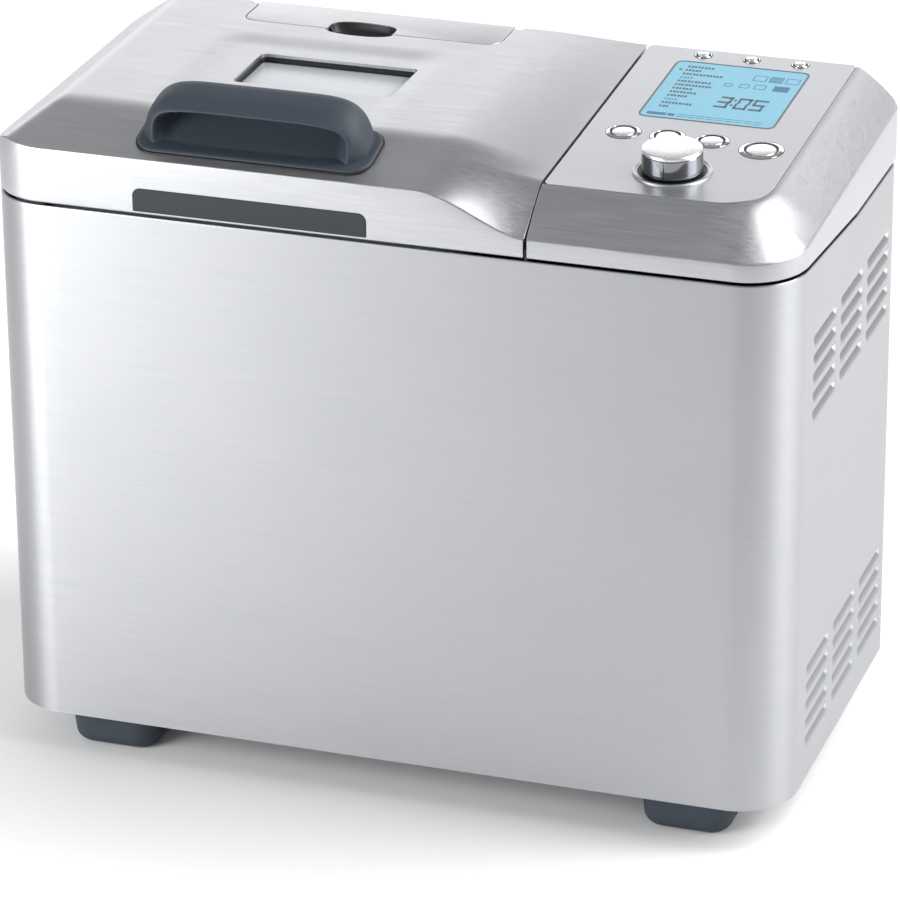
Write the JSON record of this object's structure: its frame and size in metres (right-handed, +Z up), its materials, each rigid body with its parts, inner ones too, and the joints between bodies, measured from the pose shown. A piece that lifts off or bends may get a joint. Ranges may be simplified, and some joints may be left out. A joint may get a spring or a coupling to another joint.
{
  "type": "bread machine",
  "caption": "Countertop bread machine: steel body on four feet, hinged lid with window, handle and dispenser, removable pan with folding paddle, belt drive, dial and keys.",
  "frame": {"origin": "on the table under the middle of the machine's outside box", "axes": "+X to the right seen from the front, +Y to the rear, +Z up"},
  "size_m": [0.413, 0.248, 0.363],
  "materials": {
    "wrap_steel": "fine satin, lightly brushed",
    "silver_plastic": "silver satin moulding",
    "fascia_silver": "silver satin overlay",
    "button_silver": "silver, slightly glossy",
    "dark_plastic": "dark slate, soft sheen",
    "inlay_plastic": "dark slate, smooth",
    "black_plastic": "moulded black",
    "grey_plastic": "grey, lightly textured",
    "plated_steel": "zinc plated sheet",
    "cavity_metal": "grey heat resistant coat",
    "cast_aluminium": "cast, bead blasted",
    "element_steel": "drawn steel",
    "pan_coating": "non-stick coat",
    "ring_chrome": "bright",
    "brass_pins": "bright",
    "belt_rubber": "dull",
    "seal_rubber": "dull",
    "window_glass": "clear, slightly grey",
    "display_glass": "pale blue display behind it",
    "board_laminate": "green laminate"
  },
  "bodies": {
    "housing": {"housing_wrap": "wrap_steel", "base_tray": "plated_steel", "feet": "dark_plastic", "rear_cover": "grey_plastic", "cover_screws": "plated_steel", "power_inlet": "black_plastic", "inlet_pins": "brass_pins", "top_deck": "plated_steel", "oven_cavity": "cavity_metal", "heating_element": "element_steel", "temperature_probe": "element_steel", "heat_shield": "plated_steel", "pan_mount": "cast_aluminium", "shaft_bearing": "cast_aluminium", "drive_belt": "belt_rubber", "motor": "plated_steel", "motor_bracket": "plated_steel", "convection_motor": "plated_steel", "control_housing": "silver_plastic", "control_fascia": "fascia_silver", "lcd_window": "display_glass", "lcd_module": "black_plastic", "button_rings": "ring_chrome", "dial_ring": "ring_chrome", "control_board": "board_laminate", "power_board": "board_laminate", "hinge_brackets": "plated_steel", "hinge_pins": "element_steel"},
    "lid": {"lid_shell": "silver_plastic", "lid_liner": "cavity_metal", "lid_seal": "seal_rubber", "window_gasket": "seal_rubber", "lid_window": "window_glass", "lid_handle": "dark_plastic", "lid_front_inlay": "inlay_plastic", "dispenser_bin": "grey_plastic", "dispenser_solenoid": "plated_steel"},
    "flap": {"dispenser_flap": "silver_plastic"},
    "trapdoor": {"dispenser_trapdoor": "grey_plastic"},
    "dial": {"dial_knob": "button_silver"},
    "drive": {"large_pulley": "black_plastic", "drive_shaft": "element_steel", "drive_coupler": "cast_aluminium"},
    "rotor": {"motor_pulley": "black_plastic", "motor_shaft": "element_steel"},
    "pan": {"bread_pan": "pan_coating", "pan_bush": "cast_aluminium"},
    "spindle": {"pan_shaft": "element_steel", "paddle_hub": "pan_coating", "paddle_pin": "element_steel"},
    "blade": {"paddle_blade": "pan_coating"},
    "bail": {"pan_bail": "element_steel"},
    "impeller": {"convection_fan": "cast_aluminium"},
    "timer_key": {"timer_button": "button_silver"},
    "modify_key": {"modify_button": "button_silver"},
    "cancel_key": {"cancel_button": "button_silver"},
    "start_key": {"start_button": "button_silver"},
    "crust_key": {"crust_button": "button_silver"},
    "loaf_size_key": {"loaf_size_button": "button_silver"},
    "lamp_key": {"lamp_button": "button_silver"}
  },
  "joints": [
    {"name": "lid_hinge", "type": "hinge", "parent": "housing", "child": "lid", "pos_m": [-0.066, 0.079, 0.31], "axis": [-1, 0, 0], "range_deg": [0, 80]},
    {"name": "flap_hinge", "type": "hinge", "parent": "lid", "child": "flap", "pos_m": [-0.066, 0.0829, 0.3398], "axis": [-1, 0, 0], "range_deg": [0, 100]},
    {"name": "trapdoor_hinge", "type": "hinge", "parent": "lid", "child": "trapdoor", "pos_m": [-0.066, 0.0485, 0.3015], "axis": [1, 0, 0], "range_deg": [0, 80]},
    {"name": "dial_turn", "type": "hinge", "parent": "housing", "child": "dial", "pos_m": [0.131, -0.0673, 0.33806], "axis": [0, -0.0523, 0.9986], "continuous": true},
    {"name": "drive_spin", "type": "hinge", "parent": "housing", "child": "drive", "pos_m": [-0.066, -0.0215, 0.06], "axis": [0, 0, 1], "continuous": true},
    {"name": "motor_spin", "type": "hinge", "parent": "housing", "child": "rotor", "pos_m": [0.138, -0.0215, 0.06], "axis": [0, 0, 1], "continuous": true},
    {"name": "pan_twist", "type": "hinge", "parent": "housing", "child": "pan", "pos_m": [-0.066, -0.0215, 0.08], "axis": [0, 0, 1], "range_deg": [-12, 12]},
    {"name": "pan_shaft_spin", "type": "hinge", "parent": "pan", "child": "spindle", "pos_m": [-0.066, -0.0215, 0.095], "axis": [0, 0, 1], "continuous": true},
    {"name": "blade_fold", "type": "hinge", "parent": "spindle", "child": "blade", "pos_m": [-0.054, -0.0215, 0.1011], "axis": [0, -1, 0], "range_deg": [-10, 8]},
    {"name": "bail_swing", "type": "hinge", "parent": "pan", "child": "bail", "pos_m": [-0.066, -0.0215, 0.204], "axis": [1, 0, 0], "range_deg": [0, 150]},
    {"name": "impeller_spin", "type": "hinge", "parent": "housing", "child": "impeller", "pos_m": [-0.066, 0.072, 0.19], "axis": [0, 1, 0], "continuous": true},
    {"name": "timer_press", "type": "slide", "parent": "housing", "child": "timer_key", "axis": [0, 0.0523, -0.9986], "range_m": [0, 0.001], "stiffness_N_per_m": 300, "springref_m": -0.001},
    {"name": "modify_press", "type": "slide", "parent": "housing", "child": "modify_key", "axis": [0, 0.0523, -0.9986], "range_m": [0, 0.001], "stiffness_N_per_m": 300, "springref_m": -0.001},
    {"name": "cancel_press", "type": "slide", "parent": "housing", "child": "cancel_key", "axis": [0, 0.0523, -0.9986], "range_m": [0, 0.001], "stiffness_N_per_m": 300, "springref_m": -0.001},
    {"name": "start_press", "type": "slide", "parent": "housing", "child": "start_key", "axis": [0, 0.0523, -0.9986], "range_m": [0, 0.001], "stiffness_N_per_m": 300, "springref_m": -0.001},
    {"name": "crust_press", "type": "slide", "parent": "housing", "child": "crust_key", "axis": [0, 0.0523, -0.9986], "range_m": [0, 0.001], "stiffness_N_per_m": 300, "springref_m": -0.001},
    {"name": "loaf_size_press", "type": "slide", "parent": "housing", "child": "loaf_size_key", "axis": [0, 0.0523, -0.9986], "range_m": [0, 0.001], "stiffness_N_per_m": 300, "springref_m": -0.001},
    {"name": "lamp_press", "type": "slide", "parent": "housing", "child": "lamp_key", "axis": [0, 0.0523, -0.9986], "range_m": [0, 0.001], "stiffness_N_per_m": 300, "springref_m": -0.001}
  ],
  "couplings": [
    {"joint": "motor_spin", "follows": "drive_spin", "ratio": 4.5833},
    {"joint": "pan_shaft_spin", "follows": "drive_spin", "ratio": 1}
  ]
}
